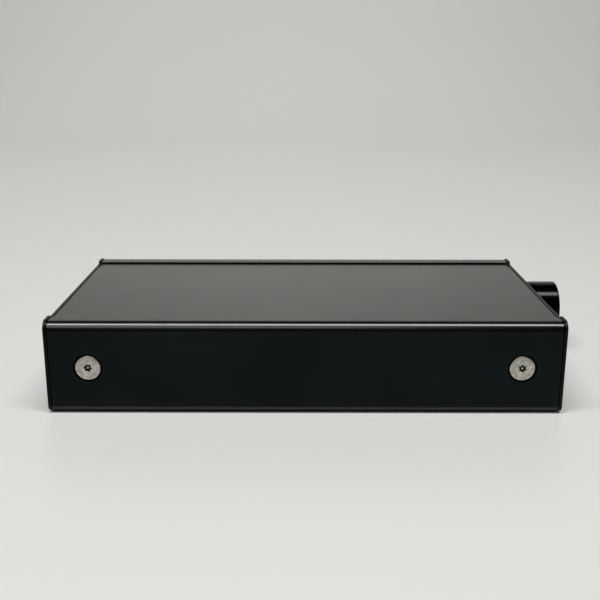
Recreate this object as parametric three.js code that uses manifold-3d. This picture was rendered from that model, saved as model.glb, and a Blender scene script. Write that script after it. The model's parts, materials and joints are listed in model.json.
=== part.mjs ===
// Digital audio player: a flat aluminium box with a volume knob on its front end.
// Millimetres. +X is the front (knob end), +Y the far long side, +Z up.
// The origin is the middle of the overall box, on the surface that the feet stand on.
import * as THREE from "three";
import { mergeVertices } from "three/addons/utils/BufferGeometryUtils.js";
import Module from "manifold-3d";

const wasm = await Module();
wasm.setup();

// ---- driving dimensions -------------------------------------------------
const BODY_LENGTH = 165; // over both end panels
const BODY_DEPTH = 90; // over both side rails
const BODY_HEIGHT = 30; // side rail, bottom edge to crown
const FOOT_STAND = 0.4; // feet below the side rails
const PANEL_THICK = 1; // front and rear panels
const PANEL_PROUD = 0.3; // panel corners above the rail crown
const SEAM = 0.3; // open line between a panel and the rails
const RAIL_THICK = 6.8;
const RAIL_ROUND = 3; // upper outer edge of a rail
const RAIL_LOWER_ROUND = 2.2; // lower outer edge of a rail
const RAIL_INNER_ROUND = 0.5;
const PLATE_RECESS = 0.8; // top plate below the rail crown
const BASE_RECESS = 1.5; // bottom plate above the rail's lower edge
const PLATE_THICK = 2;
const PLATE_TUCK = 1.4; // how far a plate's edge goes into its groove
const FIT = 0.1; // clearance around pieces that rest on each other
const GAP = 0.3; // clearance around pieces that pass through a hole
const BOARD_THICK = 1.6;
const BOARD_LIFT = 2.5; // board above the bottom plate
const TOUCH = 0.05; // hairline left between pieces that bear on each other
const OVERSHOOT = 1; // how far a cutting shape runs past what it cuts

const SIDE_SCREW_X = 69;
const SIDE_HEAD_RADIUS = 4.1;
const SIDE_SHANK_RADIUS = 2;
const COUNTERBORE_RADIUS = 4.6;
const COUNTERBORE_DEPTH = 1.7;
const BLOCK_INNER_X = 63; // corner block, the end away from the panel
const BLOCK_INNER_Y = 32;
const BOARD_POST_RADIUS = 2.8;
const BOARD_HOLE_RADIUS = 1.7;
const PANEL_SCREW_Y = 35.2;
const PANEL_SCREW_RISE = 8.8; // above and below mid height

const KNOB_Y = 25.6;
const KNOB_RADIUS = 10;
const KNOB_REACH = 15.2; // knob face in front of the front panel
const KNOB_OFF_PANEL = 0.8;
const KNOB_EDGE = 1;
const KNOB_SKIRT = 7.2; // recess in the knob's back
const POT_NUT_RADIUS = 5.4;
const POT_NUT_THICK = 2;
const JACK_NUT_RADIUS = 6;
const JACK_NUT_THICK = 1.8;
const SHAFT_RADIUS = 3;
const BUSHING_RADIUS = 3.5;
const POT_BACK_X = 70;
const RUNNING = 0.08; // radial clearance of a turning shaft
const SMALL_SIDES = 10; // faces around a panel or board screw
const SIDES = 14; // faces around a small hole or pin
const ROUND_SIDES = 20; // faces around a larger one

const JACK_Y = -25;
const BUTTON_Y = [-10, -3, 4];
const BUTTON_Z = 9.4;
const BUTTON_TRAVEL = 0.5;
const BUTTON_RADIUS = 2.25;
const BUTTON_STEM = 1.5;
const LIGHT_RADIUS = 1.5;
const BARREL_RADIUS = 4.5; // headphone socket's threaded barrel
const LIGHT_Y = 11;
const DISPLAY_Y = -4;
const DISPLAY_Z = 20.6;
const WINDOW_WIDTH = 23;
const WINDOW_HEIGHT = 9.2;

const RCA_Y = [15, 26.5];
const RCA_REACH = 8.5; // barrel behind the rear panel
const RCA_BARREL = 4.15;
const ETHERNET_WIDTH = 16;
const ETHERNET_HEIGHT = 13.5;
const USB_WIDTH = 9;
const USB_HEIGHT = 3.3;
const USB_RISE = 1.7; // socket's middle above the board
const ETHERNET_Y = 0.5;
const ROCKER_Y = -13.5;
const ROCKER_TILT = 7; // degrees either way from level
const USB_Y = -25;

// ---- levels worked out from them ----------------------------------------
const underside = FOOT_STAND;
const crown = underside + BODY_HEIGHT;
const middle = underside + BODY_HEIGHT / 2;
const topFace = crown - PLATE_RECESS;
const bottomFace = underside + BASE_RECESS;
const floorTop = bottomFace + PLATE_THICK;
const boardTop = floorTop + BOARD_LIFT + BOARD_THICK;
const onBoard = boardTop + FIT / 2;
const railInner = BODY_DEPTH / 2 - RAIL_THICK;
const panelOuter = BODY_LENGTH / 2;
const panelInner = panelOuter - PANEL_THICK;
const railEnd = panelInner - SEAM;
const frontBoardFace = panelInner - 5.5;
const onFrontBoard = frontBoardFace + TOUCH;
const switchWellFloor = onFrontBoard + 1.5;
const switchFace = switchWellFloor + 1.15;
const collarBack = switchFace + BUTTON_TRAVEL + 0.6;
const collarFront = panelInner - 2 * GAP;
const windowBack = panelInner - 0.4;
const boardPostPlaces = [[-58, -27], [-58, 27], [46, -27], [46, 27]];
const frontPostPlaces = [[-15.6, BUTTON_Z], [15.5, 23.8]];
const knobFace = panelOuter + KNOB_REACH;
const rcaTip = panelOuter + RCA_REACH;

// ---- materials -----------------------------------------------------------
function finish(color, roughness, metalness) {
  return new THREE.MeshStandardMaterial({ color, roughness, metalness });
}
const blackAnodised = finish(0x16191a, 0.42, 0.7);
const nickel = finish(0x9c988b, 0.32, 1);
const blackSteel = finish(0x1c1c1d, 0.45, 0.8);
const rubber = finish(0x141414, 0.9, 0);
const boardGreen = finish(0x12402a, 0.5, 0.1);
const blackPlastic = finish(0x17181a, 0.55, 0);
const chipBlack = finish(0x222326, 0.6, 0);
const tinned = finish(0xb9bbbb, 0.35, 1);
const aluminium = finish(0x9a9da0, 0.45, 0.9);
const brass = finish(0xb39548, 0.35, 1);
const smokedWindow = finish(0x101418, 0.1, 0);
const clearPipe = finish(0xdfe6ea, 0.2, 0);
const whitePlastic = finish(0xd9d8d2, 0.5, 0);

// ---- geometry helpers ----------------------------------------------------
function toSolid(geometry) {
  const bare = geometry.clone();
  bare.deleteAttribute("normal");
  bare.deleteAttribute("uv");
  const merged = mergeVertices(bare, 1e-4);
  const index = merged.index.array;
  const triangles = [];
  for (let i = 0; i < index.length; i += 3) {
    const [a, b, c] = [index[i], index[i + 1], index[i + 2]];
    if (a !== b && b !== c && c !== a) triangles.push(a, b, c);
  }
  const mesh = new wasm.Mesh({
    numProp: 3,
    vertProperties: merged.attributes.position.array,
    triVerts: new Uint32Array(triangles),
  });
  return new wasm.Manifold(mesh);
}

function fromSolid(solid) {
  const mesh = solid.getMesh();
  const geometry = new THREE.BufferGeometry();
  geometry.setAttribute("position", new THREE.BufferAttribute(mesh.vertProperties, 3));
  geometry.setIndex(new THREE.BufferAttribute(mesh.triVerts, 1));
  geometry.computeVertexNormals();
  return geometry;
}

function cut(base, ...tools) {
  const solid = tools.reduce((left, tool) => left.subtract(toSolid(tool)), toSolid(base));
  return fromSolid(solid);
}

function join(first, ...others) {
  const solid = others.reduce((sum, other) => sum.add(toSolid(other)), toSolid(first));
  return fromSolid(solid);
}

function block(x0, x1, y0, y1, z0, z1) {
  const geometry = new THREE.BoxGeometry(x1 - x0, y1 - y0, z1 - z0);
  return geometry.translate((x0 + x1) / 2, (y0 + y1) / 2, (z0 + z1) / 2);
}

function rodX(radius, x0, x1, y, z, sides = SIDES) {
  const geometry = new THREE.CylinderGeometry(radius, radius, x1 - x0, sides);
  return geometry.rotateZ(-Math.PI / 2).translate((x0 + x1) / 2, y, z);
}

function rodY(radius, y0, y1, x, z, sides = SIDES) {
  const geometry = new THREE.CylinderGeometry(radius, radius, y1 - y0, sides);
  return geometry.translate(x, (y0 + y1) / 2, z);
}

function rodZ(radius, z0, z1, x, y, sides = SIDES) {
  const geometry = new THREE.CylinderGeometry(radius, radius, z1 - z0, sides);
  return geometry.rotateX(Math.PI / 2).translate(x, y, (z0 + z1) / 2);
}

// A profile of [radius, height] pairs turned about its own axis, which stays +Y.
function turned(profile, sides = ROUND_SIDES) {
  const points = profile.map(([radius, height]) => new THREE.Vector2(radius, height));
  return new THREE.LatheGeometry(points, sides);
}

// A shape drawn in (Y, Z) and drawn out from x0 to x1.
function alongX(shape, x0, x1, curveSegments = 3) {
  const geometry = new THREE.ExtrudeGeometry(shape, { depth: x1 - x0, bevelEnabled: false, curveSegments });
  const basis = new THREE.Matrix4().makeBasis(
    new THREE.Vector3(0, 1, 0), new THREE.Vector3(0, 0, 1), new THREE.Vector3(1, 0, 0));
  return geometry.applyMatrix4(basis).translate(x0, 0, 0);
}

// A shape drawn in (X, Z) and drawn out from y0 to y1.
function alongY(shape, y0, y1, curveSegments = 3) {
  const geometry = new THREE.ExtrudeGeometry(shape, { depth: y1 - y0, bevelEnabled: false, curveSegments });
  return geometry.rotateX(Math.PI / 2).translate(0, y1, 0);
}

function roundedRect(width, height, radius, y = 0, z = 0) {
  const [w, h] = [width / 2 - radius, height / 2 - radius];
  const shape = new THREE.Shape();
  shape.absarc(y + w, z + h, radius, 0, Math.PI / 2, false);
  shape.absarc(y - w, z + h, radius, Math.PI / 2, Math.PI, false);
  shape.absarc(y - w, z - h, radius, Math.PI, Math.PI * 1.5, false);
  shape.absarc(y + w, z - h, radius, Math.PI * 1.5, Math.PI * 2, false);
  return shape;
}

// Six rounded lobes, the drive socket of the side screws.
function lobedSocket(radius, ripple) {
  const steps = 12;
  const shape = new THREE.Shape();
  for (let i = 0; i < steps; i += 1) {
    const angle = (i / steps) * Math.PI * 2;
    const reach = radius + ripple * Math.cos(6 * angle);
    if (i === 0) shape.moveTo(reach, 0);
    else shape.lineTo(reach * Math.cos(angle), reach * Math.sin(angle));
  }
  return shape;
}

const player = new THREE.Group();

function add(name, geometry, material, parent = player) {
  const mesh = new THREE.Mesh(geometry, material);
  mesh.name = name;
  parent.add(mesh);
  return mesh;
}

// ---- casing ----------------------------------------------------------------
function railProfile() {
  const [inner, outer] = [railInner, BODY_DEPTH / 2];
  const [big, low, small] = [RAIL_ROUND, RAIL_LOWER_ROUND, RAIL_INNER_ROUND];
  const grooveWall = inner + PLATE_TUCK + GAP;
  const quarter = Math.PI / 2;
  const shape = new THREE.Shape();
  shape.moveTo(inner + small, underside);
  shape.absarc(outer - low, underside + low, low, -quarter, 0, false);
  shape.absarc(outer - big, crown - big, big, 0, quarter, false);
  shape.absarc(inner + small, crown - small, small, quarter, 2 * quarter, false);
  shape.lineTo(inner, topFace + FIT);
  shape.lineTo(grooveWall, topFace + FIT);
  shape.lineTo(grooveWall, topFace - PLATE_THICK - FIT);
  shape.lineTo(inner, topFace - PLATE_THICK - FIT);
  shape.lineTo(inner, floorTop + FIT);
  shape.lineTo(grooveWall, floorTop + FIT);
  shape.lineTo(grooveWall, bottomFace - FIT);
  shape.lineTo(inner, bottomFace - FIT);
  shape.absarc(inner + small, underside + small, small, 2 * quarter, 3 * quarter, false);
  return shape;
}

function sideRail() {
  const face = BODY_DEPTH / 2;
  const holes = [-SIDE_SCREW_X, SIDE_SCREW_X].flatMap((x) => [
    rodY(COUNTERBORE_RADIUS, face - COUNTERBORE_DEPTH, face + OVERSHOOT, x, middle, ROUND_SIDES),
    rodY(SIDE_SHANK_RADIUS + GAP, railInner - OVERSHOOT, face, x, middle),
  ]);
  return cut(alongX(railProfile(), -railEnd, railEnd, 5), ...holes);
}

function casingPlate(z0) {
  const reach = railInner + PLATE_TUCK;
  return block(-railEnd, railEnd, -reach, reach, z0, z0 + PLATE_THICK);
}

// The bottom plate carries four tapped posts for the main board.
function bottomPlate() {
  const posts = boardPostPlaces.map(([x, y]) => cut(
    rodZ(BOARD_POST_RADIUS, floorTop - OVERSHOOT, boardTop - BOARD_THICK - TOUCH, x, y, 6),
    rodZ(BOARD_HOLE_RADIUS, floorTop, boardTop, x, y),
  ));
  return join(casingPlate(bottomFace), ...posts);
}

// Both end panels follow the rails' rounded corners and dip to the top plate between them.
function panelOutline() {
  const half = BODY_DEPTH / 2;
  const top = crown + PANEL_PROUD;
  const dip = railInner - 0.6;
  const round = 0.5;
  const [big, low] = [RAIL_ROUND, RAIL_LOWER_ROUND];
  const quarter = Math.PI / 2;
  const shape = new THREE.Shape();
  shape.absarc(half - low, underside + low, low, -quarter, 0, false);
  shape.absarc(half - big, top - big, big, 0, quarter, false);
  shape.absarc(dip + round, top - round, round, quarter, 2 * quarter, false);
  shape.absarc(dip - round, topFace + round, round, 0, -quarter, true);
  shape.absarc(-dip + round, topFace + round, round, -quarter, -2 * quarter, true);
  shape.absarc(-dip - round, top - round, round, 0, quarter, false);
  shape.absarc(-half + big, top - big, big, quarter, 2 * quarter, false);
  shape.absarc(-half + low, underside + low, low, 2 * quarter, 3 * quarter, false);
  return shape;
}

const panelScrewPlaces = [-1, 1].flatMap((side) => [-1, 1].map((level) =>
  [side * PANEL_SCREW_Y, middle + level * PANEL_SCREW_RISE]));

function panelBlank() {
  const [wide, narrow, depth] = [3, 1.8, 1.2];
  const through = PANEL_THICK + 0.5;
  const profile = [
    [0, -through], [narrow, -through], [narrow, -depth], [wide, 0], [wide, OVERSHOOT], [0, OVERSHOOT],
  ];
  const sink = turned(profile, SMALL_SIDES).rotateZ(-Math.PI / 2);
  const sinks = panelScrewPlaces.map(([y, z]) => sink.clone().translate(panelOuter, y, z));
  return cut(alongX(panelOutline(), panelInner, panelOuter, 4), ...sinks);
}

// The front panel carries two tapped posts for the front board.
function frontPanel() {
  const [inside, outside] = [panelInner - OVERSHOOT, panelOuter + OVERSHOOT];
  const [postRadius, tapRadius, tapSides] = [1.9, 0.8, 8];
  const posts = frontPostPlaces.map(([y, z]) => cut(
    rodX(postRadius, frontBoardFace + TOUCH, panelInner + 0.5, y, z),
    rodX(tapRadius, frontBoardFace - OVERSHOOT, panelInner, y, z, tapSides),
  ));
  const windowHole = roundedRect(WINDOW_WIDTH + 2 * GAP, WINDOW_HEIGHT + 2 * GAP, 1.2, DISPLAY_Y, DISPLAY_Z);
  return cut(
    join(panelBlank(), ...posts),
    rodX(BUSHING_RADIUS + GAP, inside, outside, KNOB_Y, middle, ROUND_SIDES),
    rodX(BARREL_RADIUS + GAP, inside, outside, JACK_Y, middle, ROUND_SIDES),
    alongX(windowHole, inside, outside),
    ...BUTTON_Y.map((y) => rodX(BUTTON_RADIUS + GAP, inside, outside, y, BUTTON_Z)),
    rodX(LIGHT_RADIUS + GAP, inside, outside, LIGHT_Y, BUTTON_Z),
  );
}

// The rear panel is the same blank turned to face -X.
function rearPanel() {
  const [inside, outside] = [-panelInner + OVERSHOOT, -panelOuter - OVERSHOOT];
  const usbHole = roundedRect(USB_WIDTH + 2 * GAP, USB_HEIGHT + 2 * GAP, 1.9, USB_Y, onBoard + USB_RISE);
  const netHalf = ETHERNET_WIDTH / 2 + GAP;
  const [netLow, netHigh] = [onBoard - GAP, onBoard + ETHERNET_HEIGHT + GAP];
  const [rockerHalfWidth, rockerHalfHeight] = [4.6, 7];
  return cut(
    panelBlank().rotateZ(Math.PI),
    ...RCA_Y.map((y) => rodX(RCA_BARREL + GAP, outside, inside, y, middle, ROUND_SIDES)),
    block(outside, inside, ETHERNET_Y - netHalf, ETHERNET_Y + netHalf, netLow, netHigh),
    block(outside, inside, ROCKER_Y - rockerHalfWidth, ROCKER_Y + rockerHalfWidth,
      middle - rockerHalfHeight, middle + rockerHalfHeight),
    alongX(usbHole, outside, inside),
  );
}

// Even about mid height, so that one block fits any corner when turned over.
function cornerBlock() {
  const far = railInner - FIT;
  const halfHeight = Math.min(topFace - PLATE_THICK - middle, middle - floorTop) - FIT;
  const [tapRadius, tapDepth, wall] = [1.7, 10.7, 1.5];
  const [holeEnd, holeMouth] = [railEnd - tapDepth, railEnd + OVERSHOOT];
  const screwHoles = [-1, 1].map((level) =>
    rodX(tapRadius, holeEnd, holeMouth, PANEL_SCREW_Y, middle + level * PANEL_SCREW_RISE));
  return cut(
    block(BLOCK_INNER_X, railEnd, BLOCK_INNER_Y, far, middle - halfHeight, middle + halfHeight),
    rodY(SIDE_SHANK_RADIUS + GAP, BLOCK_INNER_Y + wall, far + OVERSHOOT, SIDE_SCREW_X, middle),
    ...screwHoles,
  );
}

// Flat-headed side screw, its face just inside the counterbore's mouth.
function sideScrew() {
  const face = BODY_DEPTH / 2 - FIT;
  const under = BODY_DEPTH / 2 - COUNTERBORE_DEPTH + TOUCH;
  const tip = BLOCK_INNER_Y + 2.5;
  const [edge, tipChamfer, socketDepth] = [0.3, 0.4, 1.1];
  const profile = [
    [0, tip], [SIDE_SHANK_RADIUS - tipChamfer, tip], [SIDE_SHANK_RADIUS, tip + tipChamfer],
    [SIDE_SHANK_RADIUS, under], [SIDE_HEAD_RADIUS, under],
    [SIDE_HEAD_RADIUS, face - edge], [SIDE_HEAD_RADIUS - edge, face], [0, face],
  ];
  const socket = alongY(lobedSocket(1.05, 0.12), face - socketDepth, face + OVERSHOOT);
  return cut(turned(profile), socket);
}

// Countersunk panel screw, its face at x = 0 and its tip towards -X.
function panelScrew() {
  const [wide, narrow, depth, length] = [2.7, 1.45, 1.2, 9.5];
  const profile = [[0, -length], [narrow, -length], [narrow, -depth], [wide, 0], [0, 0]];
  const body = turned(profile, SMALL_SIDES).rotateZ(-Math.PI / 2);
  const [socketRadius, socketDepth] = [0.95, 0.9];
  return cut(body, rodX(socketRadius, -socketDepth, OVERSHOOT, 0, 0, 6));
}

function foot() {
  const [radius, edge, top] = [6, 0.5, bottomFace - TOUCH];
  const profile = [[0, 0], [radius - edge, 0], [radius, edge], [radius, top], [0, top]];
  return turned(profile).rotateX(Math.PI / 2);
}

add("side_rail_far", sideRail(), blackAnodised);
add("side_rail_near", sideRail(), blackAnodised).rotation.z = Math.PI;
add("top_plate", casingPlate(topFace - PLATE_THICK), blackAnodised);
add("bottom_plate", bottomPlate(), blackAnodised);
add("front_panel", frontPanel(), blackAnodised);
add("rear_panel", rearPanel(), blackAnodised);

// Each corner has a tapped block, a foot, a screw through the rail and two through the panel.
const [FOOT_X, FOOT_Y] = [66, 28];
const corners = { front_far: [1, 1], rear_far: [-1, 1], rear_near: [-1, -1], front_near: [1, -1] };
for (const [corner, [alongSign, acrossSign]] of Object.entries(corners)) {
  const blockGeometry = cornerBlock();
  // Turned over or turned round, the front far block fits any corner.
  if (alongSign !== acrossSign) {
    blockGeometry.translate(0, 0, -middle).rotateX(Math.PI).translate(0, 0, middle);
  }
  const endTurn = alongSign > 0 ? 0 : Math.PI;
  const sideTurn = acrossSign > 0 ? 0 : Math.PI;
  add(`corner_block_${corner}`, blockGeometry, aluminium).rotation.z = endTurn;
  add(`foot_${corner}`, foot(), rubber).position.set(alongSign * FOOT_X, acrossSign * FOOT_Y, 0);
  const sideScrewMesh = add(`side_screw_${corner}`, sideScrew(), nickel);
  sideScrewMesh.position.set(alongSign * SIDE_SCREW_X, 0, middle);
  sideScrewMesh.rotation.z = sideTurn;
  for (const [level, sign] of [["lower", -1], ["upper", 1]]) {
    const screw = add(`panel_screw_${corner}_${level}`, panelScrew(), blackSteel);
    const rise = sign * PANEL_SCREW_RISE;
    screw.position.set(alongSign * (panelOuter - TOUCH), acrossSign * PANEL_SCREW_Y, middle + rise);
    screw.rotation.z = endTurn;
  }
}

// ---- main board --------------------------------------------------------------
function mainBoard() {
  const [rearEnd, frontEnd, halfWidth] = [-79.5, 73.5, 31.5];
  const holes = boardPostPlaces.map(([x, y]) => rodZ(BOARD_HOLE_RADIUS, 0, crown, x, y));
  return cut(block(rearEnd, frontEnd, -halfWidth, halfWidth, boardTop - BOARD_THICK, boardTop), ...holes);
}

// Pan-headed board screw, its seat at z = 0.
function boardScrew() {
  const [shank, length, head, height, crownRound] = [1.4, 3.8, 2.7, 1.9, 0.6];
  const profile = [
    [0, -length], [shank, -length], [shank, 0], [head, 0],
    [head, height - crownRound], [head - crownRound, height], [0, height],
  ];
  const [socketRadius, socketDepth] = [1.1, 1];
  const socket = rodZ(socketRadius, height - socketDepth, height + OVERSHOOT, 0, 0, 6);
  return cut(turned(profile, SMALL_SIDES).rotateX(Math.PI / 2), socket);
}

function boardPiece(x, y, length, width, height) {
  return block(x - length / 2, x + length / 2, y - width / 2, y + width / 2, onBoard, onBoard + height);
}

// Upright can capacitor with the pinched neck above its base.
function capacitor() {
  const [radius, height, edge] = [4, 12, 0.4];
  const [neckZ, neckDepth] = [1.6, 0.35];
  const profile = [
    [0, 0], [radius, 0], [radius, neckZ - edge], [radius - neckDepth, neckZ], [radius, neckZ + edge],
    [radius, height - edge], [radius - edge, height], [0, height],
  ];
  return turned(profile, SIDES).rotateX(Math.PI / 2);
}

add("main_board", mainBoard(), boardGreen);
boardPostPlaces.forEach(([x, y], i) => {
  add(`board_screw_${i + 1}`, boardScrew(), nickel).position.set(x, y, onBoard);
});
add("processor_shield", boardPiece(-14, 0, 30, 26, 3), tinned);
add("audio_chip", boardPiece(26, 6, 9, 9, 1.2), chipBlack);
add("clock_can", boardPiece(15, -9, 7, 5, 1.6), tinned);
[-12, 12].forEach((y, i) => {
  add(`capacitor_${i + 1}`, capacitor(), aluminium).position.set(-42, y, onBoard);
});

// ---- front end: display, buttons, light ---------------------------------------
// A thin flat cable that leaves the front board level and bends down to the main board.
function ribbon() {
  const [z, outer, thick, straight, halfWidth] = [onBoard + 0.4, 5, 0.3, 1.3, 6];
  const x = frontBoardFace - BOARD_THICK - 2 * FIT - straight;
  const shape = new THREE.Shape();
  shape.moveTo(x + straight, z + outer);
  shape.absarc(x, z, outer, Math.PI / 2, Math.PI, false);
  shape.lineTo(x - outer, onBoard);
  shape.lineTo(x - outer + thick, onBoard);
  shape.absarc(x, z, outer - thick, Math.PI, Math.PI / 2, true);
  shape.lineTo(x + straight, z + outer - thick);
  return alongY(shape, -halfWidth, halfWidth, 4);
}

// Button: a round head in the panel's hole, a collar behind the panel and a stem to its switch.
function buttonCap() {
  const stemEnd = switchWellFloor + BUTTON_TRAVEL + FIT;
  const [collar, face, edge] = [3.1, panelOuter + 1, 0.3];
  const profile = [
    [0, stemEnd], [BUTTON_STEM, stemEnd], [BUTTON_STEM, collarBack], [collar, collarBack],
    [collar, collarFront], [BUTTON_RADIUS, collarFront], [BUTTON_RADIUS, face - edge],
    [BUTTON_RADIUS - edge, face], [0, face],
  ];
  return turned(profile, SIDES).rotateZ(-Math.PI / 2);
}

function buttonSwitch() {
  const half = 3;
  return cut(
    block(onFrontBoard, switchFace, -half, half, -half, half),
    rodX(BUTTON_STEM + GAP, switchWellFloor, switchFace + OVERSHOOT, 0, 0),
  );
}

// The board that stands behind the front panel and carries the display module.
function frontBoard() {
  const [nearEdge, farEdge, lower, upper] = [-17.5, 18, 5, 26.6];
  return block(frontBoardFace - BOARD_THICK, frontBoardFace, nearEdge, farEdge, lower, upper);
}

function displayModule() {
  const [halfWidth, lower, upper, face] = [13, 14.6, 26.4, windowBack - FIT];
  return block(onFrontBoard, face, DISPLAY_Y - halfWidth, DISPLAY_Y + halfWidth, lower, upper);
}

add("front_board", frontBoard(), boardGreen);
add("front_ribbon", ribbon(), whitePlastic);
add("display_module", displayModule(), chipBlack);
const windowShape = roundedRect(WINDOW_WIDTH, WINDOW_HEIGHT, 1, DISPLAY_Y, DISPLAY_Z);
add("display_window", alongX(windowShape, windowBack, panelOuter - FIT), smokedWindow);
add("status_light", rodX(LIGHT_RADIUS, onFrontBoard, panelOuter + 0.2, LIGHT_Y, BUTTON_Z), clearPipe);

const buttonNames = ["previous", "play", "next"];
buttonNames.forEach((name, i) => {
  const place = new THREE.Group();
  place.position.set(0, BUTTON_Y[i], BUTTON_Z);
  player.add(place);
  add(`${name}_button`, buttonCap(), blackAnodised, place);
  add(`${name}_switch`, buttonSwitch(), blackPlastic, place);
});

// ---- volume control -------------------------------------------------------------
const bushingEnd = panelOuter + 4;
const knobBack = panelOuter + KNOB_OFF_PANEL;
const knobRecess = bushingEnd + 1;
const shaftEnd = knobFace - 1.7;
const grubX = knobRecess + 3;
const grubTip = -2.5; // just under the shaft's flat
const GRUB_RADIUS = 1.25;
const GRUB_LENGTH = 5;

function volumePot() {
  const [half, top] = [5.4, 6.8];
  const housing = block(POT_BACK_X, railEnd, -half, half, onBoard - middle, top);
  const bushing = rodX(BUSHING_RADIUS, railEnd - OVERSHOOT, bushingEnd, 0, 0, ROUND_SIDES);
  const bore = rodX(SHAFT_RADIUS + RUNNING, POT_BACK_X + 1.5, bushingEnd + OVERSHOOT, 0, 0, ROUND_SIDES);
  return cut(join(housing, bushing), bore);
}

// Shaft with a flat along its underside for the knob's grub screw.
function volumeShaft() {
  const [flatLevel, half] = [-2.4, 4];
  return cut(
    rodX(SHAFT_RADIUS, POT_BACK_X + 2, shaftEnd, 0, 0, ROUND_SIDES),
    block(knobRecess, shaftEnd + OVERSHOOT, -half, half, -half, flatLevel),
  );
}

function volumeKnob() {
  const [edge, backEdge, bore] = [KNOB_EDGE, 0.3, SHAFT_RADIUS + TOUCH];
  const corner = KNOB_RADIUS - edge;
  const profile = [
    [KNOB_SKIRT, knobBack], [KNOB_RADIUS - backEdge, knobBack], [KNOB_RADIUS, knobBack + backEdge],
    [KNOB_RADIUS, knobFace - edge],
  ];
  const steps = 3;
  for (let i = 1; i <= steps; i += 1) {
    const angle = (i / steps) * (Math.PI / 2);
    profile.push([corner + edge * Math.cos(angle), knobFace - edge + edge * Math.sin(angle)]);
  }
  profile.push([0, knobFace], [0, shaftEnd + 0.2], [bore, shaftEnd + 0.2]);
  profile.push([bore, knobRecess], [KNOB_SKIRT, knobRecess], [KNOB_SKIRT, knobBack]);
  const body = turned(profile, 32).rotateZ(-Math.PI / 2);
  return cut(body, rodZ(GRUB_RADIUS + GAP, -KNOB_RADIUS - OVERSHOOT, grubTip, grubX, 0));
}

// A nut on the front panel's outer face.
function ringNut(radius, bore, thick, sides) {
  const [seat, face] = [panelOuter + TOUCH, panelOuter + thick];
  const hole = rodX(bore, seat - OVERSHOOT, face + OVERSHOOT, 0, 0, ROUND_SIDES);
  return cut(rodX(radius, seat, face, 0, 0, sides), hole);
}

const volumeAxis = new THREE.Group();
volumeAxis.position.set(0, KNOB_Y, middle);
player.add(volumeAxis);
add("volume_pot", volumePot(), aluminium, volumeAxis);
const volumeNut = ringNut(POT_NUT_RADIUS, BUSHING_RADIUS + GAP, POT_NUT_THICK, 6);
add("volume_nut", volumeNut, nickel, volumeAxis);
add("volume_shaft", volumeShaft(), brass, volumeAxis);
add("volume_knob", volumeKnob(), blackAnodised, volumeAxis);
add("volume_grub_screw", rodZ(GRUB_RADIUS, grubTip - GRUB_LENGTH, grubTip, grubX, 0), blackSteel, volumeAxis);

// ---- headphone socket --------------------------------------------------------------
function headphoneJack() {
  const [back, half, top, plugRadius] = [52.5, 5.8, 6.4, 3.25];
  const barrelEnd = panelOuter + 2.4;
  const housing = block(back, railEnd, -half, half, onBoard - middle, top);
  const barrel = rodX(BARREL_RADIUS, railEnd - OVERSHOOT, barrelEnd, 0, 0, ROUND_SIDES);
  return cut(join(housing, barrel), rodX(plugRadius, back + 2, barrelEnd + OVERSHOOT, 0, 0, ROUND_SIDES));
}

const jackAxis = new THREE.Group();
jackAxis.position.set(0, JACK_Y, middle);
player.add(jackAxis);
add("headphone_jack", headphoneJack(), blackPlastic, jackAxis);
const jackNut = ringNut(JACK_NUT_RADIUS, BARREL_RADIUS + GAP, JACK_NUT_THICK, ROUND_SIDES);
add("headphone_nut", jackNut, nickel, jackAxis);

// ---- rear end: sockets and power switch --------------------------------------------
function rcaJack() {
  const [inner, half, pinRadius, pinDepth] = [-69.5, 5.2, 1.6, 17];
  const housing = block(-railEnd, inner, -half, half, onBoard - middle, half);
  const barrel = rodX(RCA_BARREL, -rcaTip, -railEnd + OVERSHOOT, 0, 0, ROUND_SIDES);
  const pinHole = rodX(pinRadius, -rcaTip - OVERSHOOT, -rcaTip + pinDepth, 0, 0);
  return cut(join(housing, barrel), pinHole);
}

// Box socket open towards -X, with the latch's notch along its top.
function ethernetJack() {
  const mouth = -panelOuter + 0.3;
  const [length, half] = [16, ETHERNET_WIDTH / 2];
  const [plugDepth, plugHalf, plugLow, plugHigh] = [12, 5.9, 2.2, 10.2];
  const [latchDepth, latchHalf, latchHigh] = [9, 3, 11.8];
  const outside = mouth - OVERSHOOT;
  return cut(
    block(mouth, mouth + length, -half, half, 0, ETHERNET_HEIGHT),
    block(outside, mouth + plugDepth, -plugHalf, plugHalf, plugLow, plugHigh),
    block(outside, mouth + latchDepth, -latchHalf, latchHalf, plugHigh - OVERSHOOT, latchHigh),
  );
}

function usbSocket() {
  const mouth = -panelOuter + 0.2;
  const [length, backWall, wall] = [7.8, 1, 0.3];
  const [tongueSetBack, tongueHalfWidth, tongueHalfHeight] = [0.8, 3.3, 0.35];
  const [innerWidth, innerHeight] = [USB_WIDTH - 2 * wall, USB_HEIGHT - 2 * wall];
  const shell = cut(
    alongX(roundedRect(USB_WIDTH, USB_HEIGHT, 1.6), mouth, mouth + length),
    alongX(roundedRect(innerWidth, innerHeight, 1.3), mouth - OVERSHOOT, mouth + length - backWall),
  );
  const tongue = block(mouth + tongueSetBack, mouth + length - backWall + 0.2,
    -tongueHalfWidth, tongueHalfWidth, -tongueHalfHeight, tongueHalfHeight);
  return join(shell, tongue);
}

const rockerPivot = -panelOuter - 0.3;

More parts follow.
